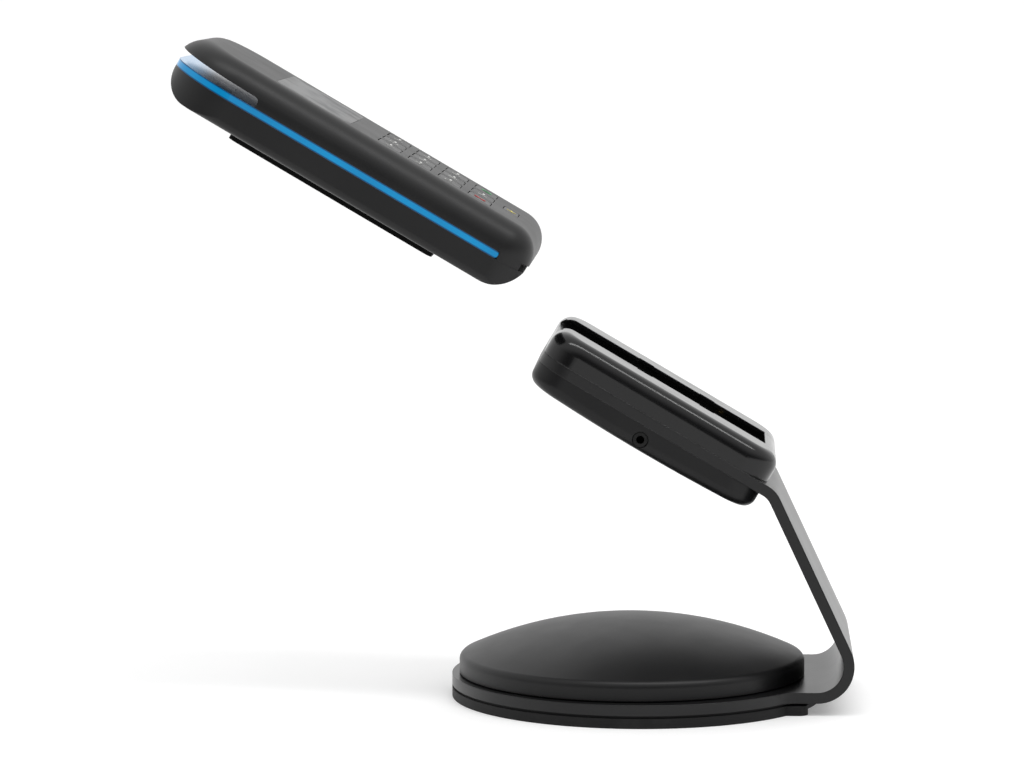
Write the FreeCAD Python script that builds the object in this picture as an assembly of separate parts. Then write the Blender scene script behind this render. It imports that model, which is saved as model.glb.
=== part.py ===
import FreeCAD, Part
import math
import os

# A handheld card terminal that slides along a tilted desk cradle on a bent plate stand.
# Millimetres. +Z is up, the user sits on the -Y side, and the origin is the centre of the
# base's underside. Cradle pieces are drawn flat (X across, Y up the slope, Z off the plate)
# and then tilted; terminal pieces are drawn flat on the terminal's own underside.

V = FreeCAD.Vector

# ---- stand ----
baseRadius = 55.5
padThick = 3.7
padGroove = 0.8
padStub = 0.5             # how far the pad runs out under the tongue, past the neck
plateThick = 3.2
stripWidth = 66.0
footReach = 70.8          # base centre to the sharp outer corner of the lower bend
armAngle = 64.85
armLength = 69.3          # between the two sharp outer corners
lowerBendRadius = 7.7
upperBendRadius = 5.5
neckFillet = 6.0
domeRadius = 51.9
domeSetback = 1.4         # the dome stands this far back of the disc's centre
domeBottomGap = 0.4
domeWallHeight = 5.1
domeCapHeight = 11.6
domeShoulder = 2.2
domeSkin = 2.0
domePost = 4.0
weightGap = 0.2
baseScrewCircle = 50.0
baseScrewRadius = 2.0
baseScrewReach = 6.0      # thread above the plate
baseDriveDepth = 1.4
domeRimGap = 1.2          # gasket's outer edge in from the dome's
gasketWidth = 3.4
weightCapDrop = 1.6       # the weight's crown is this much lower than the dome's

# ---- cradle ----
cradleTilt = 30.4
cradleLength = 78.9       # sharp upper corner to the upper end of the plate
cradleCorner = 9.5
trayStart = 3.0
trayHeight = 8.5
trayEdge = 4.6
trayWall = 2.4
housingStart = 3.4
housingDepth = 6.4
housingBelly = 1.1        # the housing's underside bows out by this at mid length
housingWall = 2.0
housingEdge = 3.4
recessStart = 8.6
recessMouthHalf = 14.4
recessLipThick = 1.1
recessDepth = 3.1
recessFloorSkin = 1.5
screwTipSkin = 0.8        # tray left over the tip of a cradle screw
screwTipGap = 0.1
railUndercut = 2.6
railClear = 0.3
rimNotchPlaces = (28.8, 50.0)
rimNotchSize = (5.0, 1.4)
cableNotchPlace = 41.7
cableNotchRadius = 2.4
cableNotchDrop = 4.2      # hole's centre under the plate
inletLength = 12.0
inletSetback = 0.6        # from the housing's outer face
inletClear = 0.15
inletBore = 1.2
inletBody = 4.0           # square part at the inner end
cradleScrewInset = (26.0, 14.0)
cradleScrewRadius = 1.4
cradleScrewClear = 0.2
screwHeadReach = 1.3      # head's rim past the shank
screwHeadHeight = 1.9
screwHeadSink = 0.5       # head under the housing's face
driveRadius = 0.8
driveDepth = 1.1
trayBossWall = 2.4
housingBossWall = 2.2
pinPitch = 5.0
pinRadius = 0.6
pinPlace = 22.0
pinBoreClear = 0.05
pinFoot = 0.4             # lower end of a pin over the plate's face
pinSink = 2.0             # bore's depth under the plate's face
padGap = 0.1
blockWall = 2.0           # contact block round its bores
blockClear = 0.4          # block to the plate's window
boardThick = 1.6
cradleBoardHalf = 24.0
cradleBoardDrop = 1.9     # its underside under the plate
cradleBoardMargin = (9.0, 19.0)   # below the pins, and short of the cradle's upper end
boardPostRadius = 1.6
boardPostInset = 3.0      # from the board's ends
boardPostSpace = 0.4      # kept between a post and the inlet

# ---- terminal ----
termLength = 119.8
noseReach = 1.0           # the upper shell overhangs the lower one at the top end
termWidth = 70.0
termThick = 19.4
termCorner = 9.6
noseCorner = 20.0         # plan corners at the top end
endRadius = 11.4          # side view, where the underside turns up at the lower end
noseRadius = 9.0          # the same at the top end
bottomEdge = 2.2
leastEdge = 0.4           # the same edge inside the shell is never sharper than this
crownRadius = 8.7
crownFoot = 0.4           # plain wall left under the crown
termWall = 1.8
insideCorner = 2.0        # plan corners of the inner pieces
lowerHeight = 8.1
guideThick = 2.25
guideStart = 9.4
guideRim = 2.6
guideTipFlat = 0.05       # half the flat left on the strip's round lower tip
guideGap = 0.1            # strip's lower tip to the upper shell
slotDepth = 27.9
slotMouth = 3.4
slotInner = 2.8
slotCorner = 1.2
slotEndWall = 1.8
dockStart = 26.4
dockLength = 69.4
dockGap = 0.35            # its foot over the recess floor
dockLipGap = 0.25         # its foot under the tray's lips
dockCorners = (2.0, 3.0)  # neck and foot in plan
dockScrewPlace = (9.0, 6.0)       # across, and in from each end
dockScrewHead = 1.76
dockScrewSink = 1.0
dockDriveDepth = 0.6
chargePadRadius = 1.4
chargePadThick = 0.4
restTravel = 112.8        # how far the terminal stands drawn off the docked place
trayClear = 0.3
windowSize = (48.0, 25.0)
windowThick = 1.2
windowPlace = 78.7
displayHalf = (19.7, 9.8)
displayBody = (22.0, 10.9)
displayClear = 0.3
windowClear = 0.1
keyPitch = (16.0, 10.2)
keySize = (12.4, 7.4)
keyCorner = 1.6
keyEdge = 0.3
clearKeySize = (12.4, 5.0)
keyRowTop = 53.3
clearKeyPlace = 13.0
keyGap = 0.2
keyFlange = 0.6
keyFlangeThick = 0.6
keySkinGap = 0.1
skinToBoard = 4.4         # upper skin's inner face to the main board's underside
keyTravel = 0.4
boardInset = 4.65         # main board's edge from the terminal's side
boardStart = 5.0
boardEndGap = 0.6
boardPostGap = 0.4
matThick = 1.0
matDomeFoot = 2.4
matDomeTip = 1.5
matMargin = 1.5
chipSlotHalf = 27.2
chipSlotHeight = 2.2      # from the seam up
chipMouthInset = 3.5      # ends of the wide mouth, in from the terminal's sides
chipMouthDepth = 3.5
readerSideWall = 0.8
readerStart = 4.0
readerEnd = 48.0
readerFloor = 1.2         # metal under the card's slot
readerRoof = 1.2          # and over it
readerRail = 2.0          # width of the two rails that hang the reader from the board
readerStop = 2.5          # closed end of the card's slot
batteryHalf = 24.0
batteryGap = 3.0
batterySlack = 0.4
antennaWidth = 2.0
antennaThick = 0.4
sounderRadius = 5.0
sounderPlace = (12.0, 6.0)        # across, and past the card reader's end
sounderGap = 1.5          # over the lower shell's rim
lampSize = 2.4
lampHeight = 1.4
lampPlaces = (28.0, 66.0)
screwPostInset = (4.7, 14.0)
screwPostShort = 5.0      # upper posts short of the cavity's end
screwPostRadius = 1.9
termScrewRadius = 0.8
termScrewHead = 1.6
termScrewClear = 0.1
termScrewSeat = 3.0       # underside of a screw's head over the terminal's underside
termScrewHeadHeight = 1.6
termDriveRadius = 0.5
pegPlaces = (8.0, 50.0)
pegRadius = 1.3
pegClear = 0.1
pegInset = 5.8            # from the terminal's side
headSize = (9.0, 5.0)
headPlace = (8.0, 14.0)   # across, and in from the top end
headReach = 0.5
headTravel = 0.45
headSpringThick = 0.3
headClear = 0.3
headEdge = 0.8

# ---- worked out from the above ----
plateBottom = padThick
plateTop = plateBottom + plateThick
armTurn = math.radians(armAngle)
cradleTurn = math.radians(cradleTilt)
cornerReach = footReach - armLength * math.cos(armTurn)
cornerHeight = plateBottom + armLength * math.sin(armTurn)
halfStrip = stripWidth / 2
halfTerm = termWidth / 2
recessFloor = trayHeight - recessDepth
termUnderside = trayHeight + trayClear
dockedPlace = recessStart + railClear - dockStart
restPlace = dockedPlace + restTravel
guideTop = lowerHeight + guideThick
skinUnder = termThick - termWall
slotEnd = termLength - slotDepth
cavityEnd = slotEnd - slotEndWall
boardUnder = skinUnder - skinToBoard
boardTop = boardUnder + boardThick
keyFlangeTop = skinUnder - keySkinGap
railHalf = recessMouthHalf + railUndercut
matDome = keyFlangeTop - keyFlangeThick - keyTravel - keySkinGap - boardTop - matThick
boardHalf = halfTerm - boardInset
outerBox = 200.0


def save(name, shape):
    if shape.ShapeType == "Compound" and len(shape.Solids) == 1:
        shape = shape.Solids[0]
    shape.exportStep("parts/%s.step" % name)
    print(name, len(shape.Solids), shape.isValid(), round(shape.Volume, 1))


def block(x0, x1, y0, y1, z0, z1):
    return Part.makeBox(x1 - x0, y1 - y0, z1 - z0, V(x0, y0, z0))


def rod(radius, x, y, z0, z1):
    return Part.makeCylinder(radius, z1 - z0, V(x, y, z0))


def join(pieces):
    return pieces[0].multiFuse(pieces[1:]).removeSplitter() if len(pieces) > 1 else pieces[0]


def roundedLoop(across, low, high, radius, upperRadius=None):
    """Closed outline of a rectangle with round corners, as (a, b) pairs joined by arcs."""
    a, r, q = across, radius, upperRadius or radius
    k, m = [size * (1 - math.sqrt(0.5)) for size in (r, q)]
    return [((a - r, low), (a - k, low + k), (a, low + r)),
            ((a, high - q), (a - m, high - m), (a - q, high)),
            ((q - a, high), (m - a, high - m), (-a, high - q)),
            ((-a, low + r), (k - a, low + k), (r - a, low))]


def loopFace(corners, place):
    edges = []
    for index, (start, middle, end) in enumerate(corners):
        edges.append(Part.Arc(place(*start), place(*middle), place(*end)).toShape())
        following = place(*corners[(index + 1) % len(corners)][0])
        if place(*end).distanceToPoint(following) > 1e-6:
            edges.append(Part.LineSegment(place(*end), following).toShape())
    return Part.Face(Part.Wire(edges))


def slab(halfWidth, y0, y1, corner, z0, z1, upperCorner=None):
    """A flat plate with round corners in plan."""
    face = loopFace(roundedLoop(halfWidth, y0, y1, corner, upperCorner), lambda a, b: V(a, b, z0))
    return face.extrude(V(0, 0, z1 - z0))


def filletWhere(shape, radius, test):
    chosen = [edge for edge in shape.Edges if test(edge)]
    return shape.makeFillet(radius, chosen)


def midpoint(edge):
    return edge.valueAt((edge.FirstParameter + edge.LastParameter) / 2)


def tilt(shape):
    """From the flat cradle frame to the stand."""
    moved = shape.copy()
    moved.rotate(V(0, 0, 0), V(1, 0, 0), cradleTilt)
    moved.translate(V(0, -cornerReach, cornerHeight))
    return moved


def onTerminal(shape):
    """From the terminal's own underside to the stand, at the drawn-off place."""
    moved = shape.copy()
    moved.translate(V(0, restPlace, termUnderside))
    return tilt(moved)


# ---------------------------------------------------------------- stand

def standOutline():
    """Side view of the bent strip between the tongue and the cradle plate, as a face in x = 0."""
    outer = [(0, plateBottom), (footReach, plateBottom), (cornerReach, cornerHeight),
             (cornerReach - cradleLength * math.cos(cradleTurn),
              cornerHeight + cradleLength * math.sin(cradleTurn))]
    along = [(1, 0), (-math.cos(armTurn), math.sin(armTurn)),
             (-math.cos(cradleTurn), math.sin(cradleTurn))]
    inward = [(-b * plateThick, a * plateThick) for a, b in along]

    def meet(first, second):
        (px, py), (dx, dy) = first
        (qx, qy), (ex, ey) = second
        share = ((qx - px) * ey - (qy - py) * ex) / (dx * ey - dy * ex)
        return (px + share * dx, py + share * dy)

    offset = [((outer[i][0] + inward[i][0], outer[i][1] + inward[i][1]), along[i]) for i in range(3)]
    inner = [(0, plateTop), meet(offset[0], offset[1]), meet(offset[1], offset[2]),
             (outer[3][0] + inward[2][0], outer[3][1] + inward[2][1])]
    return outer + inner[::-1]


def standPlate():
    place = [V(-halfStrip, -u, z) for u, z in standOutline()]
    strip = Part.Face(Part.makePolygon(place + place[:1])).extrude(V(stripWidth, 0, 0))
    for corner, radius in ((1, lowerBendRadius + plateThick), (6, lowerBendRadius),
                           (2, upperBendRadius + plateThick), (5, upperBendRadius)):
        at = place[corner] + V(halfStrip, 0, 0)
        strip = filletWhere(strip, radius, lambda edge: midpoint(edge).distanceToPoint(at) < 0.5)
    end = place[3].y
    normal = V(0, -math.sin(cradleTurn), math.cos(cradleTurn))
    strip = filletWhere(strip, cradleCorner, lambda edge: abs(midpoint(edge).x) > halfStrip - 0.01
                        and midpoint(edge).y > end - 1
                        and edge.tangentAt(edge.FirstParameter).cross(normal).Length < 0.01)
    disc = rod(baseRadius, 0, 0, plateBottom, plateTop)
    plate = join([disc, strip])
    meeting = math.sqrt(baseRadius ** 2 - halfStrip ** 2)
    plate = filletWhere(plate, neckFillet, lambda edge: abs(abs(midpoint(edge).x) - halfStrip) < 0.01
                        and abs(midpoint(edge).y + meeting) < 0.01
                        and abs(edge.tangentAt(edge.FirstParameter).z) > 0.99)
    for x, y in baseScrewPlaces():
        plate = plate.cut(baseScrew(x, y, 0.0))
    holes = [rod(cradleScrewRadius + cradleScrewClear, x, y, -plateThick - 1, 1)
             for x, y in cradleScrewPlaces()]
    holes.append(contactWindow())
    return plate.cut(tilt(Part.makeCompound(holes)))


def baseScrewPlaces():
    places = []
    for index in range(4):
        angle = math.radians(45 + 90 * index)
        places.append((baseScrewCircle / 2 * math.cos(angle),
                       baseScrewCircle / 2 * math.sin(angle) + domeSetback))
    return places


def baseScrew(x, y, drive):
    """Countersunk screw, flush with the plate's underside; drive is the depth of its socket."""
    sink = baseScrewRadius
    head = Part.makeCone(2 * baseScrewRadius, baseScrewRadius, sink, V(x, y, plateBottom))
    shank = rod(baseScrewRadius, x, y, plateBottom + sink, plateTop + baseScrewReach)
    screw = join([head, shank])
    if drive:
        screw = screw.cut(rod(baseScrewRadius / 2, x, y, plateBottom - 1, plateBottom + drive))
    return screw


def footPad():
    """Rubber pad, stepped in at the top so that a dark groove runs round under the plate."""
    stub = math.sqrt(baseRadius ** 2 - halfStrip ** 2) + neckFillet + padStub
    body = join([rod(baseRadius, 0, 0, 0, padThick - padGroove),
                 block(-halfStrip, halfStrip, -stub, 0, 0, padThick - padGroove)])
    body = filletWhere(body, neckFillet / 2, lambda edge: abs(midpoint(edge).y + stub) < 0.01
                       and abs(edge.tangentAt(edge.FirstParameter).z) > 0.99)
    return join([body, rod(baseRadius - padGroove, 0, 0, padThick - padGroove, padThick)])


def domeProfile(radius, bottom, wall, cap, shoulder):
    """Round cap: a short wall, a round shoulder and a spherical crown."""
    top = bottom + wall + cap
    sphere = (radius ** 2 + cap ** 2) / (2 * cap)
    crown = Part.makeSphere(sphere, V(0, domeSetback, top - sphere))
    drum = rod(radius, 0, domeSetback, bottom, top + 1)
    solid = drum.common(crown)
    return filletWhere(solid, shoulder, lambda edge: abs(midpoint(edge).z - bottom - wall) < 0.3
                       and edge.Length > radius)


def domeBottom():
    return plateTop + domeBottomGap


def weightTop():
    return domeBottom() + domeWallHeight + domeCapHeight - domeSkin - weightGap


def domeCover():
    inner = domeRadius - domeSkin
    outside = domeProfile(domeRadius, domeBottom(), domeWallHeight, domeCapHeight, domeShoulder)
    inside = domeProfile(inner, domeBottom() - 1, domeWallHeight + 1 - domeSkin / 2,
                         domeCapHeight - domeSkin / 2, domeShoulder)
    post = rod(domePost, 0, domeSetback, weightTop(), weightTop() + domeSkin / 2)
    return join([outside.cut(inside), post])


def baseWeight():
    radius = gasketInner() - weightGap
    cap = domeCapHeight - weightCapDrop
    weight = domeProfile(radius, plateTop, weightTop() - plateTop - cap, cap, domeShoulder)
    return weight.cut(Part.makeCompound([baseScrew(x, y, 0.0) for x, y in baseScrewPlaces()]))


def gasketInner():
    return domeRadius - domeRimGap - gasketWidth


def domeGasket():
    ring = rod(domeRadius - domeRimGap, 0, domeSetback, plateTop, domeBottom())
    return ring.cut(rod(gasketInner(), 0, domeSetback, plateTop, domeBottom()))


# ---------------------------------------------------------------- cradle

def cradleScrewPlaces():
    inset, low = cradleScrewInset
    high = cradleLength - (low - trayStart)
    return [(x, y) for x in (-inset, inset) for y in (low, high)]


def contactWindow():
    half, along = [reach + blockWall + blockClear for reach in (pinPitch + pinRadius, pinRadius)]
    return block(-half, half, pinPlace - along, pinPlace + along, -plateThick - 1, 0.5)


def pinPlaces():
    return [(index - 1) * pinPitch for index in range(3)]


def cradleTray():
    body = slab(halfStrip, trayStart, cradleLength, cradleCorner, 0, trayHeight)
    body = filletWhere(body, trayEdge, lambda edge: midpoint(edge).z > trayHeight - 0.01)
    upper = cradleLength + 1
    recess = join([block(-recessMouthHalf, recessMouthHalf, recessStart, upper,
                         recessFloor, trayHeight + 1),
                   block(-railHalf, railHalf, recessStart, upper,
                         recessFloor, trayHeight - recessLipThick)])
    long, deep = rimNotchSize
    notches = [block(side * recessMouthHalf - deep, side * recessMouthHalf + deep,
                     at - long / 2, at + long / 2, trayHeight - recessLipThick - 0.1, trayHeight + 1)
               for side in (-1, 1) for at in rimNotchPlaces]
    inset = trayWall
    pocket = slab(halfStrip - inset, trayStart + inset, cradleLength - inset,
                  cradleCorner - inset, -1, recessFloor - recessFloorSkin)
    bosses = [rod(cradleScrewRadius + trayBossWall, x, y, -1, trayHeight - recessFloorSkin)
              for x, y in cradleScrewPlaces()]
    pilots = [rod(cradleScrewRadius, x, y, -1, recessFloor - screwTipSkin)
              for x, y in cradleScrewPlaces()]
    pinHoles = [rod(pinRadius + 2 * pinBoreClear, x, pinPlace, 0, trayHeight) for x in pinPlaces()]
    body = body.cut(Part.makeCompound([recess] + notches))
    body = body.cut(pocket.cut(Part.makeCompound(bosses)))
    return body.cut(Part.makeCompound(pilots + pinHoles))


def cradleHousing():
    low = -plateThick - housingDepth
    body = slab(halfStrip, housingStart, cradleLength, cradleCorner,
                low - housingBelly - 1, -plateThick)
    body = body.common(bellyDrum())
    body = filletWhere(body, housingEdge, lambda edge: midpoint(edge).z < low + 0.1)
    inset = housingWall
    pocket = slab(halfStrip - inset, housingStart + inset, cradleLength - inset,
                  cradleCorner - inset, low + inset, -plateThick + 1)
    bosses = [rod(cradleScrewRadius + housingBossWall, x, y, low, -plateThick)
              for x, y in cradleScrewPlaces()]
    bosses += [rod(boardPostRadius, x, y, low, boardLevel()) for x, y in cradleBoardPosts()]
    headTop = low + screwHeadSink + screwHeadHeight
    heads = [rod(cradleScrewRadius + screwHeadReach + cradleScrewClear, x, y, low - 1 - housingBelly,
                 headTop) for x, y in cradleScrewPlaces()]
    holes = [rod(cradleScrewRadius + cradleScrewClear, x, y, low, 0)
             for x, y in cradleScrewPlaces()]
    body = body.cut(pocket.cut(Part.makeCompound(bosses)))
    cable = Part.makeCylinder(cableNotchRadius, inletSetback + inletLength + inletClear,
                              V(-halfStrip, cableNotchPlace, cableLevel()), V(1, 0, 0))
    return body.cut(Part.makeCompound(heads + holes + [cable]))


def cableLevel():
    return -plateThick - cableNotchDrop


def bellyDrum():
    """Large cylinder across the cradle whose underside is the housing's bowed bottom."""
    half = (cradleLength - housingStart) / 2
    radius = (half ** 2 + housingBelly ** 2) / (2 * housingBelly)
    bottom = -plateThick - housingDepth - housingBelly
    return Part.makeCylinder(radius, stripWidth, V(-halfStrip, housingStart + half, bottom + radius),
                             V(1, 0, 0))


def boardLevel():
    return -plateThick - cradleBoardDrop


def cradleBoardPosts():
    low, high = cradleBoardEnds()
    across = halfStrip - inletSetback - inletLength - boardPostSpace - boardPostRadius
    return [(x, y) for x in (-across, across)
            for y in (low + boardPostInset, high - boardPostInset)]


def cradleBoardEnds():
    below, short = cradleBoardMargin
    return pinPlace - below, cradleLength - short


def cradleBoard():
    low, high = cradleBoardEnds()
    top = boardLevel() + boardThick
    board = block(-cradleBoardHalf, cradleBoardHalf, low, high, boardLevel(), top)
    around = cradleScrewRadius + housingBossWall + boardPostGap
    return board.cut(Part.makeCompound([rod(around, x, y, boardLevel() - 1, top + 1)
                                        for x, y in cradleScrewPlaces()]))


def powerInlet():
    """Round socket that fills the cable hole and hangs from the cradle's board."""
    start = inletSetback - halfStrip
    barrel = Part.makeCylinder(cableNotchRadius - inletClear, inletLength,
                               V(start, cableNotchPlace, cableLevel()), V(1, 0, 0))
    half = cableNotchRadius - inletClear
    back = block(inletLength + start - inletBody, inletLength + start, cableNotchPlace - half,
                 cableNotchPlace + half, cableLevel(), boardLevel())
    bore = Part.makeCylinder(inletBore, inletLength - inletBody / 2,
                             V(start, cableNotchPlace, cableLevel()), V(1, 0, 0))
    return join([barrel, back]).cut(bore)


def contactBlock():
    half, along = pinPitch + pinRadius + blockWall, pinRadius + blockWall
    body = block(-half, half, pinPlace - along, pinPlace + along,
                 boardLevel() + boardThick, recessFloor - recessFloorSkin)
    bores = [rod(pinRadius + pinBoreClear, x, pinPlace, -pinSink, recessFloor) for x in pinPlaces()]
    return body.cut(Part.makeCompound(bores))


def contactPin(x):
    tip = termUnderside - dockDrop() - padGap
    pin = rod(pinRadius, x, pinPlace, pinFoot, tip)
    return filletWhere(pin, pinRadius / 2, lambda edge: abs(midpoint(edge).z - tip) < 0.01)


def cradleScrews():
    low = -plateThick - housingDepth + screwHeadSink
    neck = low + screwHeadHeight
    screws = []
    for x, y in cradleScrewPlaces():
        screw = join([rod(cradleScrewRadius + screwHeadReach, x, y, low, neck),
                      rod(cradleScrewRadius, x, y, neck, recessFloor - screwTipSkin - screwTipGap)])
        screws.append(screw.cut(rod(driveRadius, x, y, low - 1, low + driveDepth)))
    return Part.makeCompound(screws)


# ---------------------------------------------------------------- terminal

def dockDrop():
    """How far the docking plate hangs below the terminal's underside."""
    return trayClear + recessDepth - dockGap


def lowerForm(inset):
    """Lower half of the terminal: plan outline, round ends and soft bottom edges together."""
    plan = slab(halfTerm - inset, inset, termLength - inset, termCorner - inset, inset, guideTop,
                noseCorner - inset)
    r, q = endRadius - inset, noseRadius - inset
    k, m = [size * (1 - math.sqrt(0.5)) for size in (r, q)]
    a, b, low = inset, termLength - inset, inset
    side = [V(-outerBox, y, z) for y, z in
            ((a, outerBox), (a, low + r), (a + k, low + k), (a + r, low),
             (b - q, low), (b - m, low + m), (b, low + q), (b, outerBox))]
    edges = [Part.LineSegment(side[0], side[1]).toShape(), Part.Arc(*side[1:4]).toShape(),
             Part.LineSegment(side[3], side[4]).toShape(), Part.Arc(*side[4:7]).toShape(),
             Part.LineSegment(side[6], side[7]).toShape(),
             Part.LineSegment(side[7], side[0]).toShape()]
    profile = Part.Face(Part.Wire(edges)).extrude(V(2 * outerBox, 0, 0))
    cross = loopFace(roundedLoop(halfTerm - inset, inset, outerBox, max(bottomEdge - inset, leastEdge)),
                     lambda a, b: V(a, -10, b)).extrude(V(0, termLength + 20, 0))
    return plan.common(profile).common(cross)


def upperForm(inset):
    """Upper half of the terminal, from the seam to a crowned top."""
    body = slab(halfTerm - inset, inset, termLength + noseReach - inset, termCorner - inset,
                lowerHeight, termThick - inset, noseCorner - inset)
    crown = min(crownRadius, termCorner - crownFoot, termThick - lowerHeight - crownFoot)
    return filletWhere(body, crown - inset,
                       lambda edge: midpoint(edge).z > termThick - inset - 0.01)


def screwPosts():
    across, low = halfTerm - screwPostInset[0], screwPostInset[1]
    return [(x, y) for x in (-across, across) for y in (low, cavityEnd - screwPostShort)]


def pegPosts():
    across = halfTerm - pegInset
    return [(x, y) for x in (-across, across) for y in pegPlaces]


def lowerShell():
    seam = block(-outerBox, outerBox, -10, outerBox, -1, lowerHeight)
    outside = lowerForm(0).common(seam)
    posts = [rod(screwPostRadius, x, y, 0, lowerHeight) for x, y in screwPosts()]
    pegs = [rod(pegRadius, x, y, termWall / 2, boardUnder) for x, y in pegPosts()]
    inside = lowerForm(termWall).common(block(-outerBox, outerBox, 0, outerBox, 0, lowerHeight + 1))
    shell = outside.cut(inside.cut(Part.makeCompound(posts)))
    shell = join([shell] + pegs)
    cuts = []
    for x, y in screwPosts():
        cuts.append(rod(termScrewHead + termScrewClear, x, y, -1, termScrewSeat))
        cuts.append(rod(termScrewRadius + termScrewClear, x, y, 0, lowerHeight + 1))
    cuts += [rod(termScrewRadius, x, y, -1, termWall + 1) for x, y in dockScrewPlaces()]
    return shell.cut(Part.makeCompound(cuts))


def lightGuide():
    """Translucent plate: a bright strip down both sides, and the floor of the swipe slot."""
    band = block(-outerBox, outerBox, guideStart, outerBox, lowerHeight, guideTop)
    outside = lowerForm(0).common(band)
    opening = slab(halfTerm - guideRim, -outerBox, cavityEnd, insideCorner,
                   lowerHeight - 1, guideTop + 1)
    guide = outside.cut(opening)
    r = guideThick / 2 - guideTipFlat
    return filletWhere(guide, r, lambda edge: abs(midpoint(edge).y - guideStart) < 0.01
                       and abs(edge.tangentAt(edge.FirstParameter).x) > 0.99)


def slotWedge():
    high = termLength + noseReach + 1
    rise = (slotMouth - slotInner) / slotDepth
    corner = slotCorner
    k = corner * (1 - math.sqrt(0.5))
    roof = guideTop + slotInner
    points = [V(-outerBox, y, z) for y, z in
              ((high, lowerHeight - 1), (slotEnd, lowerHeight - 1), (slotEnd, roof - corner),
               (slotEnd + k, roof - k), (slotEnd + corner, roof),
               (high, roof + rise * (high - slotEnd)))]
    edges = [Part.LineSegment(points[0], points[1]).toShape(),
             Part.LineSegment(points[1], points[2]).toShape(), Part.Arc(*points[2:5]).toShape(),
             Part.LineSegment(points[4], points[5]).toShape(),
             Part.LineSegment(points[5], points[0]).toShape()]
    return Part.Face(Part.Wire(edges)).extrude(V(2 * outerBox, 0, 0))


def keyTable():
    """Every key as name, centre across, centre along and size."""
    keys = []
    rows = [["key_1", "key_2", "key_3"], ["key_4", "key_5", "key_6"],
            ["key_7", "key_8", "key_9"], ["key_cancel", "key_0", "key_enter"]]
    for row, names in enumerate(rows):
        for column, name in enumerate(names):
            keys.append((name, (column - 1) * keyPitch[0], keyRowTop - row * keyPitch[1], keySize))
    keys.append(("key_clear", 0.0, clearKeyPlace, clearKeySize))
    return keys


def keyPrism(x, y, size, grow, z0, z1):
    halfX, halfY = size[0] / 2 + grow, size[1] / 2 + grow
    prism = slab(halfX, -halfY, halfY, keyCorner + grow, z0, z1)
    prism.translate(V(x, y, 0))
    return prism


def keyCap(x, y, size):
    cap = keyPrism(x, y, size, 0.0, keyFlangeTop - keyFlangeThick, termThick)
    cap = filletWhere(cap, keyEdge, lambda edge: midpoint(edge).z > termThick - 0.01)
    flange = keyPrism(x, y, size, keyFlange, keyFlangeTop - keyFlangeThick, keyFlangeTop)
    return join([cap, flange])


def upperShell():
    body = upperForm(0).cut(block(-outerBox, outerBox, guideStart - guideGap, outerBox,
                                  lowerHeight - 1, guideTop))
    inside = upperForm(termWall).common(
        block(-outerBox, outerBox, -10, cavityEnd, 0, skinUnder))
    posts = [rod(screwPostRadius, x, y, guideTop, termThick) for x, y in screwPosts()]
    inside = join([inside, block(termWall - halfTerm, halfTerm - termWall, termCorner,
                                 cavityEnd, lowerHeight - 1, guideTop + 0.1)])
    cuts = [inside.cut(Part.makeCompound(posts)), slotWedge()]
    half, length = windowSize[0] / 2, windowSize[1] / 2
    cuts.append(slab(half, windowPlace - length, windowPlace + length, insideCorner,
                     termThick - windowThick, termThick + 1))
    opening = [reach + displayClear for reach in displayHalf]
    cuts.append(block(-opening[0], opening[0], windowPlace - opening[1], windowPlace + opening[1],
                      skinUnder - 1, termThick))
    cuts += [keyPrism(x, y, size, keyGap, skinUnder - 1, termThick + 1)
             for name, x, y, size in keyTable()]
    cuts += [rod(termScrewRadius, x, y, lowerHeight, boardTop + 1) for x, y in screwPosts()]
    cuts.append(headPocket())
    mouth = halfTerm - chipMouthInset
    cuts.append(block(-mouth, mouth, -1, chipMouthDepth, lowerHeight - 1,
                      lowerHeight + chipSlotHeight))
    for cut in cuts:
        body = body.cut(cut)
    return body


def headBox(grow, z0, z1):
    across, inward = headPlace
    middle = termLength - inward
    return block(across - headSize[0] / 2 - grow, across + headSize[0] / 2 + grow,
                 middle - headSize[1] / 2 - grow, middle + headSize[1] / 2 + grow, z0, z1)


def slotRoof():
    """Height of the slot's roof over the magnetic head."""
    return guideTop + slotMouth - (slotMouth - slotInner) * headPlace[1] / slotDepth


def headPocket():
    return headBox(headClear, slotRoof() - headReach, skinUnder)


def magneticHead():
    low = slotRoof() - headReach
    high = skinUnder - headSpringThick - headTravel - keySkinGap
    head = headBox(0.0, low, high)
    return filletWhere(head, min(headEdge, (high - low) / 2), lambda edge: abs(midpoint(edge).z - low) < 0.01
                       and abs(edge.tangentAt(edge.FirstParameter).y) > 0.99)


def headSpring():
    """Leaf that presses the head into the slot, let into the roof of its pocket."""
    return headBox(headClear, skinUnder - headSpringThick, skinUnder)


def displayWindow():
    half, length = windowSize[0] / 2 - windowClear, windowSize[1] / 2 - windowClear
    return slab(half, windowPlace - length, windowPlace + length, insideCorner - windowClear,
                termThick - windowThick, termThick)


def displayModule():
    wide, long = displayBody
    lower = block(-wide, wide, windowPlace - long, windowPlace + long, boardTop, keyFlangeTop)
    wide, long = displayHalf
    upper = block(-wide, wide, windowPlace - long, windowPlace + long,
                  boardTop, termThick - windowThick)
    return join([lower, upper])


def keypadMat():
    bottom = clearKeyPlace - clearKeySize[1] / 2 - matMargin
    top = keyRowTop + keySize[1] / 2 + matMargin
    half = keyPitch[0] + keySize[0] / 2 + matMargin
    mat = slab(half, bottom, top, insideCorner, boardTop, boardTop + matThick)
    domes = [Part.makeCone(matDomeFoot, matDomeTip, matDome, V(x, y, boardTop + matThick))
             for name, x, y, size in keyTable()]
    return join([mat] + domes)


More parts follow.
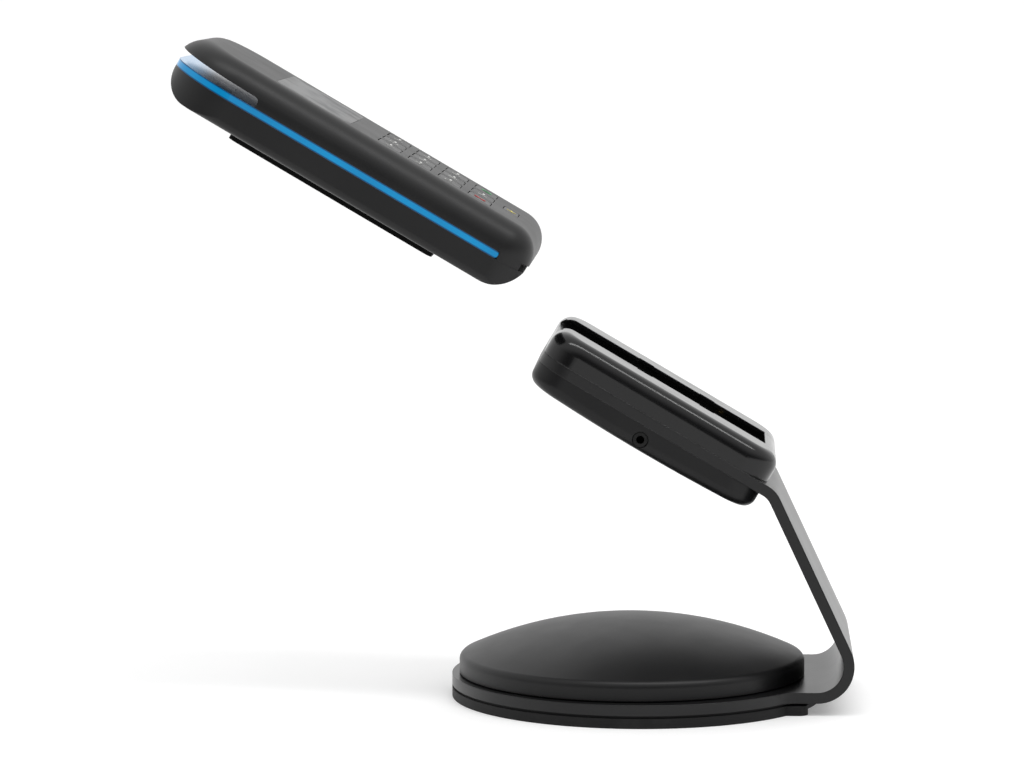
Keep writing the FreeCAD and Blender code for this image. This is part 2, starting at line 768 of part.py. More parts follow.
def mainBoard():
    board = slab(boardHalf, boardStart, cavityEnd - boardEndGap, insideCorner,
                 boardUnder, boardTop)
    notches = [rod(screwPostRadius + boardPostGap, x, y, boardUnder - 1, boardTop + 1)
               for x, y in screwPosts()]
    return board.cut(Part.makeCompound(notches))


def batteryPack():
    return slab(batteryHalf, readerEnd + batteryGap, cavityEnd - batteryGap / 2, insideCorner,
                termWall, lowerHeight - batterySlack)


def chipCardReader():
    """Metal box round the card's slot, hung from the main board by a rail along each side."""
    slotTop = lowerHeight + chipSlotHeight
    half = chipSlotHalf + readerSideWall
    body = block(-half, half, readerStart, readerEnd, lowerHeight - readerFloor, boardUnder)
    body = body.common(join([lowerForm(termWall), upperForm(termWall)]))
    mouth = block(-chipSlotHalf, chipSlotHalf, 0, readerEnd - readerStop, lowerHeight, slotTop)
    between = block(readerRail - half, half - readerRail, 0, readerEnd + 1,
                    slotTop + readerRoof, boardUnder + 1)
    pegs = [rod(pegRadius + pegClear, x, y, 0, outerBox) for x, y in pegPosts()]
    return body.cut(Part.makeCompound([mouth, between])).cut(Part.makeCompound(pegs))


def antennaLoop():
    """Flat copper loop round the display, on the board's underside."""
    wide, long = displayBody
    loop = block(-wide - antennaWidth, wide + antennaWidth, windowPlace - long, windowPlace + long,
                 boardUnder - antennaThick, boardUnder)
    long -= antennaWidth
    return loop.cut(block(-wide, wide, windowPlace - long, windowPlace + long,
                          boardUnder - 1, boardUnder + 1))


def sounder():
    return rod(sounderRadius, sounderPlace[0], readerEnd + sounderPlace[1],
               lowerHeight + sounderGap, boardUnder)


def stripLamps():
    half = lampSize / 2
    lamps = [block(side * boardHalf - half, side * boardHalf + half, y - half, y + half,
                   boardUnder - lampHeight, boardUnder)
             for side in (-1, 1) for y in lampPlaces]
    return Part.makeCompound(lamps)


def dockScrewPlaces():
    across, inset = dockScrewPlace
    return [(x, y) for x in (-across, across)
            for y in (dockStart + inset, dockStart + dockLength - inset)]


def dockingPlate():
    """T-section rail: a neck that passes the tray's lips and a wider foot under them."""
    drop = dockDrop()
    neckFoot = -(trayClear + recessLipThick + dockLipGap)
    end = dockStart + dockLength
    neck = slab(recessMouthHalf - railClear, dockStart, end, dockCorners[0], neckFoot, 0)
    foot = slab(railHalf - railClear, dockStart, end, dockCorners[1], -drop, neckFoot)
    plate = join([neck, foot])
    cuts = [dockScrew(x, y, 0.0) for x, y in dockScrewPlaces()]
    cuts += [chargePad(x) for x in pinPlaces()]
    return plate.cut(Part.makeCompound(cuts))


def dockScrew(x, y, drive):
    drop = dockDrop()
    head = Part.makeCone(dockScrewHead, termScrewRadius, dockScrewSink, V(x, y, -drop))
    shank = rod(termScrewRadius, x, y, dockScrewSink - drop, termWall)
    screw = join([head, shank])
    if drive:
        screw = screw.cut(rod(termDriveRadius, x, y, -drop - 1, drive - drop))
    return screw


def chargePad(x):
    return rod(chargePadRadius, x, pinPlace - dockedPlace, -dockDrop(), chargePadThick - dockDrop())


def terminalScrews():
    screws = []
    for x, y in screwPosts():
        low = termScrewSeat - termScrewHeadHeight
        screw = join([rod(termScrewHead, x, y, low, termScrewSeat),
                      rod(termScrewRadius, x, y, termScrewSeat, boardTop)])
        screws.append(screw.cut(rod(termDriveRadius, x, y, 0, low + termScrewHeadHeight / 2)))
    return Part.makeCompound(screws)


def main():
    os.makedirs("parts", exist_ok=True)
    save("stand_plate", standPlate())
    save("foot_pad", footPad())
    save("base_weight", baseWeight())
    save("dome_cover", domeCover())
    save("dome_gasket", domeGasket())
    save("base_screws", Part.makeCompound([baseScrew(x, y, baseDriveDepth)
                                               for x, y in baseScrewPlaces()]))

    save("cradle_tray", tilt(cradleTray()))
    save("cradle_housing", tilt(cradleHousing()))
    save("cradle_board", tilt(cradleBoard()))
    save("power_inlet", tilt(powerInlet()))
    save("contact_block", tilt(contactBlock()))
    save("cradle_screws", tilt(cradleScrews()))
    for number, x in enumerate(pinPlaces(), 1):
        save("contact_pin_%d" % number, tilt(contactPin(x)))

    for name, shape in (("lower_shell", lowerShell()), ("light_guide", lightGuide()),
                        ("upper_shell", upperShell()), ("display_window", displayWindow()),
                        ("display_module", displayModule()), ("keypad_mat", keypadMat()),
                        ("main_board", mainBoard()), ("battery_pack", batteryPack()),
                        ("chip_card_reader", chipCardReader()), ("antenna_loop", antennaLoop()),
                        ("sounder", sounder()), ("strip_lamps", stripLamps()),
                        ("docking_plate", dockingPlate()), ("magnetic_head", magneticHead()),
                        ("head_spring", headSpring()), ("terminal_screws", terminalScrews())):
        save(name, onTerminal(shape))
    save("docking_screws", onTerminal(Part.makeCompound(
        [dockScrew(x, y, dockDriveDepth) for x, y in dockScrewPlaces()])))
    save("charge_pads", onTerminal(Part.makeCompound([chargePad(x) for x in pinPlaces()])))
    for name, x, y, size in keyTable():
        save(name, onTerminal(keyCap(x, y, size)))


main()
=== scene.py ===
import bpy
import bmesh
import math
from mathutils import Matrix, Vector


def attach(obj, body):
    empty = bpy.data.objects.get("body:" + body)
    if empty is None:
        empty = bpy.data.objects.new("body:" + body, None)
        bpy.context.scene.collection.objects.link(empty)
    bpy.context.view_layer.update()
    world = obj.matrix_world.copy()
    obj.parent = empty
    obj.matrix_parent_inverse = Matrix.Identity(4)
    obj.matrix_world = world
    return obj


# A handheld card terminal drawn off a tilted desk cradle on a bent plate stand.
# Metres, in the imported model's own frame: +Z up, the user on the -Y side.

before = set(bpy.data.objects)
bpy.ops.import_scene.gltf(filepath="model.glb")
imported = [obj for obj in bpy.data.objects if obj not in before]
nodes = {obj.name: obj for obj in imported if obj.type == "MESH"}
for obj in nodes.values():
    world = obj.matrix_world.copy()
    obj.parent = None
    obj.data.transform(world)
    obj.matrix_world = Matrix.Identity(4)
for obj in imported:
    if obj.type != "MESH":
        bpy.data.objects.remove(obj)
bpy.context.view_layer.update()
print("frame loaded,", len(nodes), "nodes")


class Value:
    # wraps an output socket, so that shader maths reads as an ordinary expression
    def __init__(self, nodes, socket):
        self.nodes = nodes
        self.socket = socket

    def maths(self, operation, *inputs):
        return self.nodes.node("ShaderNodeMath", {"operation": operation},
                               dict(enumerate(inputs)))

    def __add__(self, other):
        return self.maths("ADD", self, other)

    def __radd__(self, other):
        return self.maths("ADD", other, self)

    def __sub__(self, other):
        return self.maths("SUBTRACT", self, other)

    def __rsub__(self, other):
        return self.maths("SUBTRACT", other, self)

    def __mul__(self, other):
        return self.maths("MULTIPLY", self, other)

    def __rmul__(self, other):
        return self.maths("MULTIPLY", other, self)

    def absolute(self):
        return self.maths("ABSOLUTE", self)

    def atLeast(self, other):
        return self.maths("MAXIMUM", self, other)

    def step(self, low, high, start=0.0, end=1.0):
        # start below low, end above high, smooth between
        return self.nodes.node("ShaderNodeMapRange", {"interpolation_type": "SMOOTHSTEP"},
                               {"Value": self, "From Min": low, "From Max": high,
                                "To Min": start, "To Max": end})


class Nodes:
    # a node tree, of a material or of the room
    def __init__(self, tree):
        self.tree = tree

    def node(self, kind, settings=None, sockets=None, output=0):
        made = self.tree.nodes.new(kind)
        for key, value in (settings or {}).items():
            setattr(made, key, value)
        for key, value in (sockets or {}).items():
            self.feed(made.inputs[key], value)
        return Value(self, made.outputs[output])

    def feed(self, socket, value):
        if isinstance(value, Value):
            self.tree.links.new(value.socket, socket)
        elif socket.type == "RGBA" and len(value) == 3:
            socket.default_value = tuple(value) + (1.0,)
        else:
            socket.default_value = value

    def along(self, vector, direction):
        # how far a vector reaches along a direction
        return self.node("ShaderNodeVectorMath", {"operation": "DOT_PRODUCT"},
                         {0: vector, 1: direction}, "Value")


class Finish(Nodes):
    # one material, built from nodes
    def __init__(self, name):
        self.material = bpy.data.materials.new(name)
        self.material.use_nodes = True
        super().__init__(self.material.node_tree)
        self.tree.nodes.clear()
        self.output = self.tree.nodes.new("ShaderNodeOutputMaterial")

    def place(self):
        return self.node("ShaderNodeTexCoord", output="Object")

    def noise(self, vector, size, detail=2.0, roughness=0.5, stretch=None):
        if stretch:
            vector = self.node("ShaderNodeVectorMath", {"operation": "MULTIPLY"},
                               {0: vector, 1: stretch})
        return self.node("ShaderNodeTexNoise", None,
                         {"Vector": vector, "Scale": 1.0 / size, "Detail": detail,
                          "Roughness": roughness})

    def mix(self, factor, first, second):
        # sockets 6 and 7 are the two colours, and output 2 is the mixed one
        return self.node("ShaderNodeMix", {"data_type": "RGBA"},
                         {0: factor, 6: first, 7: second}, 2)

    def bump(self, height, depth, strength=1.0, normal=None):
        sockets = {"Height": height, "Distance": depth, "Strength": strength}
        if normal:
            sockets["Normal"] = normal
        return self.node("ShaderNodeBump", None, sockets)

    def softEdge(self, radius):
        return self.node("ShaderNodeBevel", {"samples": 4}, {"Radius": radius})

    def edgeMask(self, rounded):
        # near 1 where the rounded normal leaves the true one, which is along sharp edges
        flat = self.node("ShaderNodeNewGeometry", output="Normal")
        return (1.0 - self.along(rounded, flat)).step(0.02, 0.30)

    def surface(self, **sockets):
        names = {"baseColor": "Base Color", "roughness": "Roughness", "metallic": "Metallic",
                 "specular": "Specular IOR Level", "normal": "Normal",
                 "glow": "Emission Color", "glowStrength": "Emission Strength"}
        shader = self.node("ShaderNodeBsdfPrincipled", None,
                           {names[key]: value for key, value in sockets.items()})
        self.feed(self.output.inputs["Surface"], shader)
        return self.material


# how strongly each pattern shows: wear is edge wear, the rest are shares of roughness
patternLook = {"wear": 0.5, "steelWear": 0.45, "cloud": 0.08, "handled": 0.10, "worn": 0.12,
               "steelWorn": 0.08, "powder": 0.06, "smear": 0.07, "scratch": 0.10,
               "dust": 0.12, "brushed": 0.16, "leastRough": 0.08}


def satinPlastic(name, size):
    show = patternLook
    f = Finish(name)
    place = f.place()
    rounded = f.softEdge(size["edge"])
    grain = f.noise(place, size["grain"], 2.0, 0.55)
    cloud = f.noise(place, size["cloud"], 3.0)
    handled = f.noise(place, size["handled"], 4.0, 0.6)
    wear = f.edgeMask(rounded) * handled.step(0.42, 0.62)
    colour = f.mix(cloud.step(0.3, 0.7), size["dark"], size["light"])
    colour = f.mix(wear * show["wear"], colour, size["worn"])
    rough = size["roughness"] + (cloud - 0.5) * show["cloud"]
    rough = rough + (handled - 0.5) * show["handled"] - wear * show["worn"]
    return f.surface(baseColor=colour, roughness=rough.atLeast(show["leastRough"]),
                     specular=size["specular"],
                     normal=f.bump(grain, size["depth"], 0.55, rounded))


def coatedSteel(name, size):
    show = patternLook
    f = Finish(name)
    place = f.place()
    rounded = f.softEdge(size["edge"])
    powder = f.noise(place, size["powder"], 3.0, 0.6)
    peel = f.noise(place, size["peel"], 1.0)
    cloud = f.noise(place, size["cloud"], 3.0)
    wear = f.edgeMask(rounded) * cloud.step(0.50, 0.66)
    colour = f.mix(cloud.step(0.3, 0.7), size["dark"], size["light"])
    colour = f.mix(wear * show["steelWear"], colour, size["worn"])
    rough = size["roughness"] + (cloud - 0.5) * show["cloud"]
    rough = rough + (powder - 0.5) * show["powder"] - wear * show["steelWorn"]
    waves = f.bump(peel, size["peelDepth"], 0.6, rounded)
    return f.surface(baseColor=colour, roughness=rough.atLeast(show["leastRough"]),
                     specular=size["specular"],
                     normal=f.bump(powder, size["powderDepth"], 0.5, waves))


def glossPlastic(name, size):
    show = patternLook
    f = Finish(name)
    place = f.place()
    rounded = f.softEdge(size["edge"])
    ripple = f.noise(place, size["ripple"], 1.0)
    smear = f.noise(place, size["smear"], 4.0, 0.6)
    scratch = f.noise(place, size["scratch"], 1.0, 0.5, (9.0, 1.0, 1.0)).step(0.70, 0.78)
    colour = f.mix(smear.step(0.35, 0.7), size["dark"], size["light"])
    rough = size["roughness"] + smear.step(0.45, 0.75) * show["smear"]
    rough = rough + scratch * show["scratch"]
    return f.surface(baseColor=colour, roughness=rough, specular=size["specular"],
                     normal=f.bump(ripple, size["rippleDepth"], 0.5, rounded))


def rubber(name, size):
    f = Finish(name)
    place = f.place()
    rounded = f.softEdge(size["edge"])
    grain = f.noise(place, size["grain"], 4.0, 0.7)
    dust = f.noise(place, size["dust"], 5.0, 0.65)
    colour = f.mix(dust.step(0.45, 0.75), size["dark"], size["light"])
    rough = size["roughness"] + (dust - 0.5) * patternLook["dust"]
    return f.surface(baseColor=colour, roughness=rough, specular=size["specular"],
                     normal=f.bump(grain, size["depth"], 0.8, rounded))


def plainMetal(name, size):
    show = patternLook
    f = Finish(name)
    place = f.place()
    rounded = f.softEdge(size["edge"])
    brushed = f.noise(place, size["line"], 3.0, 0.6, size["stretch"])
    cloud = f.noise(place, size["cloud"], 3.0)
    colour = f.mix(cloud.step(0.3, 0.7), size["dark"], size["light"])
    rough = size["roughness"] + (brushed - 0.5) * show["brushed"]
    return f.surface(baseColor=colour, roughness=rough.atLeast(show["leastRough"]),
                     metallic=size["metallic"],
                     normal=f.bump(brushed, size["depth"], 0.4, rounded))


shellLook = {"edge": 0.0003, "grain": 0.00022, "cloud": 0.03, "handled": 0.012,
             "dark": (0.0055, 0.0055, 0.0059), "light": (0.0078, 0.0078, 0.0081),
             "worn": (0.020, 0.020, 0.021), "roughness": 0.42, "specular": 0.33,
             "depth": 0.000010}
domeLook = dict(shellLook, roughness=0.40, grain=0.00028, specular=0.30)
housingLook = dict(shellLook, roughness=0.34, cloud=0.02, specular=0.25)
dockLook = dict(shellLook, dark=(0.003, 0.003, 0.003), light=(0.005, 0.005, 0.005),
                roughness=0.72, specular=0.08)
insideLook = dict(shellLook, dark=(0.004, 0.004, 0.004), light=(0.007, 0.007, 0.007),
                  roughness=0.55, specular=0.3)
trayLook = {"edge": 0.0004, "ripple": 0.006, "smear": 0.014, "scratch": 0.0011,
            "dark": (0.0035, 0.0035, 0.0038), "light": (0.0050, 0.0050, 0.0053),
            "roughness": 0.14, "specular": 0.38, "rippleDepth": 0.00003}
keyLook = dict(trayLook, roughness=0.36, dark=(0.0055, 0.0055, 0.0059), specular=0.30,
               light=(0.0078, 0.0078, 0.0081), edge=0.0002, rippleDepth=0.00001)
steelLook = {"edge": 0.0005, "powder": 0.00035, "peel": 0.0018, "cloud": 0.02,
             "dark": (0.0075, 0.0075, 0.0079), "light": (0.0105, 0.0105, 0.0109),
             "worn": (0.035, 0.035, 0.036), "roughness": 0.30, "specular": 0.34,
             "powderDepth": 0.000012, "peelDepth": 0.000020}
padLook = {"edge": 0.0005, "grain": 0.0004, "dust": 0.006, "dark": (0.008, 0.008, 0.0083),
           "light": (0.014, 0.014, 0.0144), "roughness": 0.62, "specular": 0.24,
           "depth": 0.00003}
foamLook = dict(padLook, dark=(0.004, 0.004, 0.004), light=(0.007, 0.007, 0.007),
                roughness=0.85, grain=0.0003)
matLook = dict(padLook, dark=(0.45, 0.45, 0.46), light=(0.55, 0.55, 0.56), roughness=0.5)
metalLook = {"edge": 0.0002, "line": 0.0006, "stretch": (1.0, 6.0, 6.0), "cloud": 0.01,
             "dark": (0.33, 0.33, 0.34), "light": (0.42, 0.42, 0.43), "roughness": 0.32,
             "metallic": 1.0, "depth": 0.000008}
goldLook = dict(metalLook, dark=(0.72, 0.50, 0.17), light=(0.84, 0.61, 0.24), roughness=0.2)
copperLook = dict(metalLook, dark=(0.48, 0.22, 0.12), light=(0.62, 0.31, 0.17))
ironLook = dict(metalLook, dark=(0.10, 0.10, 0.105), light=(0.19, 0.19, 0.195),
                roughness=0.6, metallic=0.7, stretch=(1.0, 1.0, 1.0), depth=0.00006)
wrapLook = dict(shellLook, dark=(0.35, 0.37, 0.40), light=(0.42, 0.44, 0.47), roughness=0.35,
                worn=(0.6, 0.6, 0.6))
boardLook = dict(shellLook, dark=(0.008, 0.075, 0.035), light=(0.012, 0.11, 0.05),
                 roughness=0.3, worn=(0.2, 0.25, 0.2))
lampLook = dict(shellLook, dark=(0.70, 0.72, 0.76), light=(0.80, 0.82, 0.86), roughness=0.2,
                worn=(0.8, 0.8, 0.8))


# The terminal leans by the cradle's tilt, so its own frame has X across, up along the slope
# and off away from its face.
slopeLook = {"tilt": math.radians(30.4)}
up = Vector((0, math.cos(slopeLook["tilt"]), math.sin(slopeLook["tilt"])))
off = Vector((0, -math.sin(slopeLook["tilt"]), math.cos(slopeLook["tilt"])))


def reach(name, direction):
    # least and greatest distance of a node's points along a direction
    along = [v.co.dot(direction) for v in nodes[name].data.vertices]
    return min(along), max(along)


# the floor glows here are painted light: a faint glow on the unlit slot floor, brighter at its
# open end, stands in for reflection
guideLook = {"bright": (0.003, 0.190, 0.400), "deep": (0.002, 0.125, 0.285),
             "rim": (0.003, 0.035, 0.095), "glow": (0.001, 0.170, 0.380),
             "glowStrength": 0.60, "roughness": 0.10, "specular": 0.24, "line": 0.00034,
             "floor": (0.010, 0.016, 0.026), "floorGlow": (0.004, 0.010, 0.020),
             "mouthPaintedReflection": (0.16, 0.34, 0.56), "mouth": 0.012}


def litGuide():
    # tinted clear plastic, lit from inside: a bright band with a darker line along each edge
    low, high = reach("light_guide", off)
    f = Finish("litGuide")
    place = f.place()
    middle, half = (low + high) / 2, (high - low) / 2
    away = (f.along(place, off) - middle).absolute()
    rim = away.step(half - guideLook["line"] * 1.6, half - guideLook["line"] * 0.4)
    flow = f.noise(place, 0.02, 2.0)
    speck = f.noise(place, 0.0006, 2.0)
    colour = f.mix(flow.step(0.3, 0.7), guideLook["deep"], guideLook["bright"])
    colour = f.mix(rim * 0.85, colour, guideLook["rim"])
    # the slot's floor is the guide's upper face, which stays smoky and unlit
    facing = f.node("ShaderNodeNewGeometry", output="Normal")
    level = f.along(facing, off).absolute().step(0.6, 0.9)
    colour = f.mix(level, colour, guideLook["floor"])
    glow = f.mix(rim, guideLook["glow"], guideLook["rim"])
    # painted reflection: the unlit slot floor gets a faint painted glow that grows bright toward
    # its open end, standing in for the pale room mirrored there
    end = reach("light_guide", up)[1]
    paintedReflectionNearMouth = f.along(place, up).step(end - guideLook["mouth"], end - guideLook["mouth"] * 0.25)
    floorGlow = f.mix(paintedReflectionNearMouth, guideLook["floorGlow"], guideLook["mouthPaintedReflection"])
    # painted light: on the floor faces this painted glow replaces the guide's own
    glow = f.mix(level, glow, floorGlow)
    rough = guideLook["roughness"] + (speck - 0.5) * 0.08
    return f.surface(baseColor=colour, roughness=rough.atLeast(0.03),
                     specular=guideLook["specular"], glow=glow,
                     glowStrength=guideLook["glowStrength"],
                     normal=f.bump(speck, 0.000008, 0.4))


glassLook = {"dark": (0.006, 0.006, 0.007), "lit": (0.020, 0.022, 0.025),
             "active": (0.0185, 0.0090), "border": 0.0002, "roughness": 0.28, "smear": 0.012,
             "dots": 2200.0, "specular": 0.32}


def displayGlass():
    # black printed border round a grey screen, under glass with faint finger smears
    low, high = reach("display_window", up)
    centre = (low + high) / 2
    f = Finish("displayGlass")
    place = f.place()
    half, long = glassLook["active"]
    soft = glassLook["border"]
    across = f.along(place, Vector((1, 0, 0))).absolute()
    along = (f.along(place, up) - centre).absolute()
    inside = 1.0 - across.step(half - soft, half + soft)
    inside = inside * (1.0 - along.step(long - soft, long + soft))
    smear = f.noise(place, glassLook["smear"], 4.0, 0.6)
    dots = f.node("ShaderNodeTexVoronoi", None, {"Vector": place, "Scale": glassLook["dots"]})
    colour = f.mix(inside, glassLook["dark"], glassLook["lit"])
    colour = f.mix(inside * dots.step(0.2, 0.6) * 0.3, colour, glassLook["dark"])
    rough = glassLook["roughness"] + smear.step(0.4, 0.75) * 0.12
    return f.surface(baseColor=colour, roughness=rough, specular=glassLook["specular"])


inkLook = {"tooth": 0.00018, "faded": 0.0015, "dull": 0.72, "roughness": 0.45,
           "toothDepth": 0.000006}


def inkFinish(name, colour):
    # printed key marks: slightly raised ink with a soft tooth
    f = Finish(name)
    place = f.place()
    tooth = f.noise(place, inkLook["tooth"], 2.0)
    faded = f.noise(place, inkLook["faded"], 3.0)
    dull = tuple(part * inkLook["dull"] for part in colour)
    return f.surface(baseColor=f.mix(faded.step(0.35, 0.7), colour, dull),
                     roughness=inkLook["roughness"] + (tooth - 0.5) * 0.1, specular=0.3,
                     normal=f.bump(tooth, inkLook["toothDepth"], 0.5))


print("making finishes")
shell = satinPlastic("shellSatin", shellLook)
finishes = {
    "stand_plate": coatedSteel("coatedSteel", steelLook),
    "foot_pad": rubber("padRubber", padLook),
    "base_weight": plainMetal("castWeight", ironLook),
    "dome_cover": satinPlastic("domeSatin", domeLook),
    "dome_gasket": rubber("gasketFoam", foamLook),
    "base_screws": plainMetal("screwSteel", metalLook),
    "cradle_tray": glossPlastic("trayGloss", trayLook),
    "cradle_housing": satinPlastic("housingSatin", housingLook),
    "cradle_board": satinPlastic("boardGreen", boardLook),
    "power_inlet": satinPlastic("inletBlack", insideLook),
    "contact_block": satinPlastic("blockBlack", insideLook),
    "lower_shell": shell,
    "upper_shell": shell,
    "light_guide": litGuide(),
    "display_window": displayGlass(),
    "display_module": plainMetal("displayFrame", metalLook),
    "keypad_mat": rubber("matSilicone", matLook),
    "battery_pack": satinPlastic("batteryWrap", wrapLook),
    "chip_card_reader": plainMetal("readerSteel", metalLook),
    "antenna_loop": plainMetal("antennaCopper", copperLook),
    "sounder": satinPlastic("sounderBlack", insideLook),
    "strip_lamps": satinPlastic("lampLens", lampLook),
    "docking_plate": satinPlastic("dockBlack", dockLook),
    "charge_pads": plainMetal("padGold", goldLook),
    "magnetic_head": plainMetal("headSteel", metalLook),
}
same = {"cradle_screws": "base_screws", "docking_screws": "base_screws",
        "terminal_screws": "base_screws", "head_spring": "magnetic_head",
        "main_board": "cradle_board", "contact_pin_1": "charge_pads",
        "contact_pin_2": "charge_pads", "contact_pin_3": "charge_pads"}
keyFinish = glossPlastic("keySatin", keyLook)
for name, node in nodes.items():
    finish = keyFinish if name.startswith("key_") else finishes[same.get(name, name)]
    node.data.materials.clear()
    node.data.materials.append(finish)


# The marks stand "lift" off the key tops, and points within "flat" of the top lie on it.
# A digit sits left of a short bar, and the other keys have a cross, a ring and an arrow.
legendLook = {"lift": 0.00004, "flat": 0.00005, "thick": 0.00006, "digit": 0.0042,
              "bar": (0.0042, 0.0007),
              "digitPlace": -0.0026, "barPlace": 0.0024, "line": 0.0006, "arm": 0.0015,
              "armGap": 0.0003, "ring": 0.0018, "shaft": (-0.0016, 0.0018), "barb": 0.0012,
              "white": (0.62, 0.62, 0.60), "red": (0.60, 0.03, 0.03),
              "green": (0.04, 0.42, 0.12), "yellow": (0.72, 0.60, 0.05)}
inks = {name: inkFinish(name + "Ink", legendLook[name])
        for name in ("white", "red", "green", "yellow")}


def keyPlace(name):
    # middle of a key's top face and the frame that lies on it
    points = [v.co for v in nodes[name].data.vertices]
    top = max(p.dot(off) for p in points)
    high = [p for p in points if p.dot(off) > top - legendLook["flat"]]
    across = (min(p.x for p in high) + max(p.x for p in high)) / 2
    along = (min(p.dot(up) for p in high) + max(p.dot(up) for p in high)) / 2
    centre = Vector((across, 0, 0)) + up * along + off * top
    turn = Matrix((Vector((1, 0, 0)), up, off)).transposed().to_4x4()
    return Matrix.Translation(centre) @ turn


def meshFrom(name, outlines, thick):
    # flat outlines in the key's own plane, drawn up by thick
    mesh = bpy.data.meshes.new(name)
    work = bmesh.new()
    for outline in outlines:
        low = [work.verts.new((x, y, 0)) for x, y in outline]
        high = [work.verts.new((x, y, thick)) for x, y in outline]
        work.faces.new(high)
        work.faces.new(low[::-1])
        count = len(outline)
        for index in range(count):
            following = (index + 1) % count
            work.faces.new((low[index], low[following], high[following], high[index]))
    work.to_mesh(mesh)
    work.free()
    piece = bpy.data.objects.new(name, mesh)
    bpy.context.scene.collection.objects.link(piece)
    return piece


def bar(x, y, width, height):
    a, b = width / 2, height / 2
    return [(x - a, y - b), (x + a, y - b), (x + a, y + b), (x - a, y + b)]


def stroke(x0, y0, x1, y1, width):
    along = Vector((x1 - x0, y1 - y0)).normalized() * width / 2
    side = Vector((-along.y, along.x))
    start, end = Vector((x0, y0)), Vector((x1, y1))
    corners = (start - along - side, end + along - side, end + along + side, start - along + side)
    return [tuple(corner) for corner in corners]


def ring(radius, width, count=28):
    pieces = []
    for index in range(count):
        a, b = [2 * math.pi * (index + step) / count for step in (0, 1)]
        inner = radius - width
        pieces.append([(radius * math.cos(a), radius * math.sin(a)),
                       (radius * math.cos(b), radius * math.sin(b)),
                       (inner * math.cos(b), inner * math.sin(b)),
                       (inner * math.cos(a), inner * math.sin(a))])
    return pieces


def digitMesh(name, text, size, thick):
    curve = bpy.data.curves.new(name, "FONT")
    curve.body = text
    curve.size = size
    curve.align_x = "CENTER"
    curve.align_y = "CENTER"
    curve.extrude = thick / 2
    made = bpy.data.objects.new(name, curve)
    bpy.context.scene.collection.objects.link(made)
    bpy.context.view_layer.update()
    mesh = bpy.data.meshes.new_from_object(made)
    bpy.data.objects.remove(made)
    mesh.transform(Matrix.Translation((0, 0, thick / 2)))
    piece = bpy.data.objects.new(name, mesh)
    bpy.context.scene.collection.objects.link(piece)
    return piece


def settle(piece, body, place, ink):
    piece.matrix_world = place
    piece.data.materials.clear()
    piece.data.materials.append(ink)
    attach(piece, body)


print("drawing key legends")
lift = Matrix.Translation((0, 0, legendLook["lift"]))
for digit in "1234567890":
    body = "key_" + digit
    place = keyPlace(body) @ lift
    piece = digitMesh("digit_" + digit, digit, legendLook["digit"], legendLook["thick"])
    left = Matrix.Translation((legendLook["digitPlace"], 0, 0))
    settle(piece, body, place @ left, inks["white"])
    rows = [bar(legendLook["barPlace"], 0.0, *legendLook["bar"])]
    piece = meshFrom("bar_" + digit, rows, legendLook["thick"])
    settle(piece, body, place, inks["white"])
thick, line = legendLook["thick"], legendLook["line"]
arm, gap = legendLook["arm"], legendLook["armGap"]
tip, tail = legendLook["shaft"]
barb = legendLook["barb"]
marks = {"cancel": ("red", [stroke(-arm, -arm, arm, arm, line), stroke(-arm, arm, -gap, gap, line),
                            stroke(gap, -gap, arm, -arm, line)]),
         "enter": ("green", ring(legendLook["ring"], line)),
         "clear": ("yellow", [stroke(tip, 0, tail, 0, line),
                              stroke(tip, 0, tip + barb, barb, line),
                              stroke(tip, 0, tip + barb, -barb, line)])}
for name, (ink, outlines) in marks.items():
    settle(meshFrom(name + "_mark", outlines, thick), "key_" + name,
           keyPlace("key_" + name) @ lift, inks[ink])


roomLook = {"floor": 120.0, "floorColour": (0.86, 0.86, 0.86), "floorGlow": 0.22,
            "floorShade": 0.985, "floorCloud": 0.3, "floorRough": 0.7,
            "dim": 0.12, "bright": 1.0, "lean": (0.5, 0.0, 0.9), "from": -0.34, "to": 0.42}
lights = [{"name": "overhead", "place": (-0.35, -0.40, 1.5), "aim": (0, -0.2, 0.1),
           "size": (0.16, 1.5), "power": 8.0}]
cameraLook = {"place": (-1.20507, -0.02733, 0.22281), "yaw": 3.082, "pitch": 6.1,
              "lens": 142.38}


def layFloor():
    half = roomLook["floor"] / 2
    mesh = bpy.data.meshes.new("floor")
    mesh.from_pydata([(-half, -half, 0), (half, -half, 0), (half, half, 0), (-half, half, 0)],
                     [], [(0, 1, 2, 3)])
    floor = bpy.data.objects.new("floor", mesh)
    bpy.context.scene.collection.objects.link(floor)
    f = Finish("floorPaper")
    place = f.place()
    cloud = f.noise(place, roomLook["floorCloud"], 3.0)
    tone = roomLook["floorColour"]
    deeper = tuple(part * roomLook["floorShade"] for part in tone)
    floor.data.materials.append(f.surface(baseColor=f.mix(cloud, tone, deeper),
                                          roughness=roomLook["floorRough"], specular=0.2,
                                          glow=(1.0, 1.0, 1.0),
                                          glowStrength=roomLook["floorGlow"]))


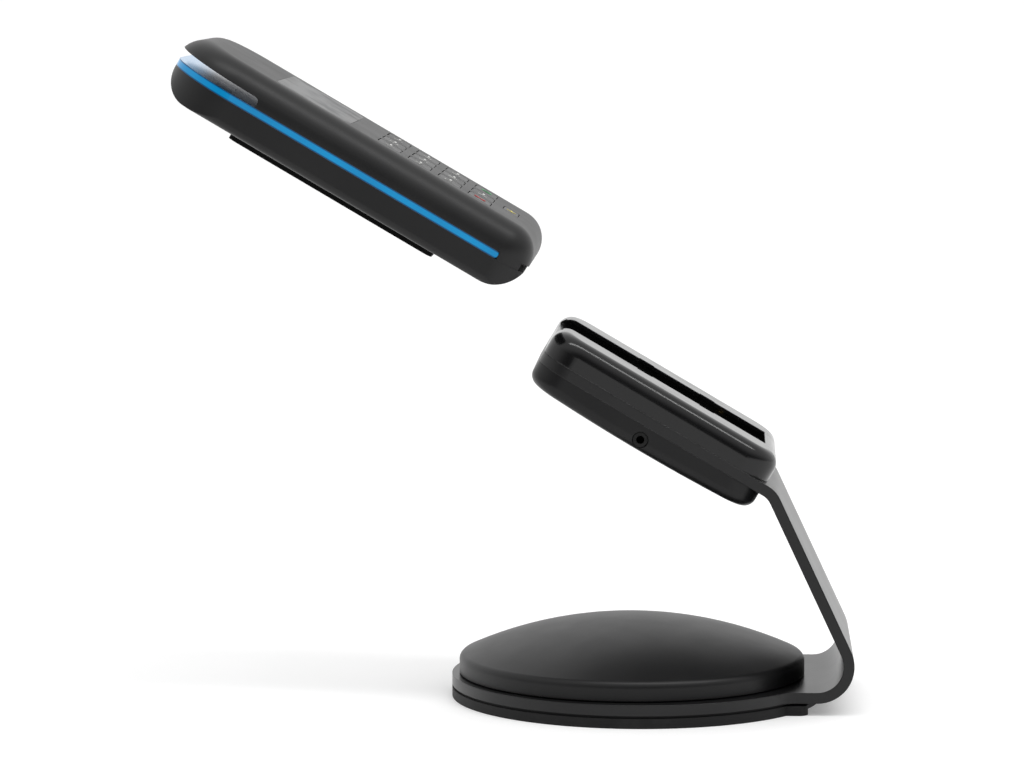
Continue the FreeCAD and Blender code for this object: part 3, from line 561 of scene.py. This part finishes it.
def hangLight(look):
    lamp = bpy.data.lights.new(look["name"], "AREA")
    lamp.shape = "RECTANGLE"
    lamp.size, lamp.size_y = look["size"]
    lamp.energy = look["power"]
    made = bpy.data.objects.new(look["name"], lamp)
    bpy.context.scene.collection.objects.link(made)
    made.location = look["place"]
    # faces its aim, with its long side along Y
    down = (Vector(look["aim"]) - Vector(look["place"])).normalized()
    across = down.cross(Vector((0, 1, 0))).normalized()
    made.rotation_euler = Matrix((across, (-down).cross(across), -down)).transposed().to_euler()


def setRoom():
    # the room is brightest overhead and toward +X, and dims gently toward -X
    world = bpy.data.worlds.new("studio")
    world.use_nodes = True
    room = Nodes(world.node_tree)
    way = room.node("ShaderNodeTexCoord", output="Generated")
    level = room.along(way, roomLook["lean"]).step(roomLook["from"], roomLook["to"],
                                                   roomLook["dim"], roomLook["bright"])
    # the backdrop itself is even and pale on every side
    seen = room.node("ShaderNodeLightPath", output="Is Camera Ray")
    background = world.node_tree.nodes["Background"]
    room.feed(background.inputs["Strength"], level.atLeast(seen))
    background.inputs["Color"].default_value = (1.0, 1.0, 1.0, 1.0)
    bpy.context.scene.world = world
    bpy.context.scene.view_settings.view_transform = "Standard"


def placeCamera():
    yaw, pitch = math.radians(cameraLook["yaw"]), math.radians(cameraLook["pitch"])
    forward = Vector((math.cos(yaw) * math.cos(pitch), math.sin(yaw) * math.cos(pitch),
                      -math.sin(pitch)))
    right = Vector((math.sin(yaw), -math.cos(yaw), 0))
    upward = right.cross(forward)
    turn = Matrix((right, upward, -forward)).transposed().to_4x4()
    lens = bpy.data.cameras.new("camera")
    lens.lens = cameraLook["lens"]
    lens.sensor_width = 36.0
    lens.clip_start = 0.01
    lens.clip_end = 100.0
    made = bpy.data.objects.new("camera", lens)
    bpy.context.scene.collection.objects.link(made)
    made.matrix_world = Matrix.Translation(cameraLook["place"]) @ turn
    bpy.context.scene.camera = made


print("setting floor, light and camera")
layFloor()
for look in lights:
    hangLight(look)
setRoom()
placeCamera()

bpy.context.view_layer.update()
print("finishing")
